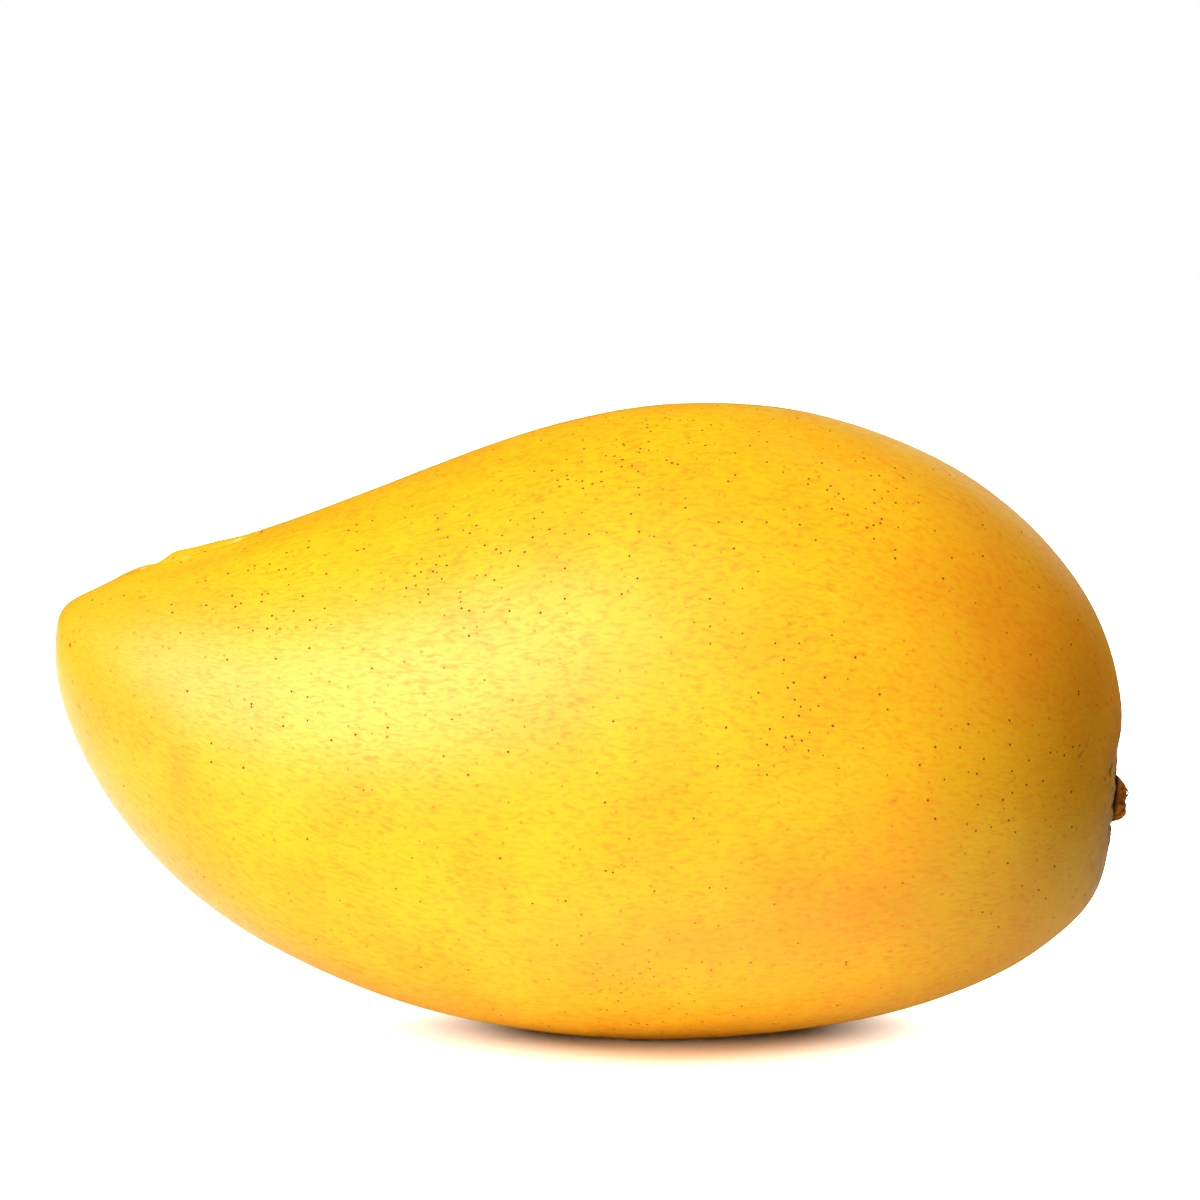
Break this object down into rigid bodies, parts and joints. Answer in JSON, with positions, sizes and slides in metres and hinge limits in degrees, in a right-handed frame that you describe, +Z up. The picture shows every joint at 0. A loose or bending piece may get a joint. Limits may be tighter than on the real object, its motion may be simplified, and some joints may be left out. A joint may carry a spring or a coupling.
{
  "type": "mango",
  "caption": "Whole ripe yellow mango with a blunt beak, a short suture groove on its crest and a corky stem stub, lying on a small flat spot.",
  "frame": {"origin": "on the surface that the fruit rests on, under the middle of the part's box", "axes": "+X along the fruit towards the stem end, with the beak at -X; +Z up, towards the crest; the two cheeks face -Y and +Y"},
  "size_m": [0.121, 0.063, 0.0715],
  "materials": {
    "skin": "smooth waxy fruit skin with a satin sheen, yellow turning orange, with fine streaks and small dark dots",
    "stem": "rough corky stalk end, broken off short"
  },
  "bodies": {
    "root": {"fruit": "skin", "stem_stub": "stem"}
  },
  "joints": []
}
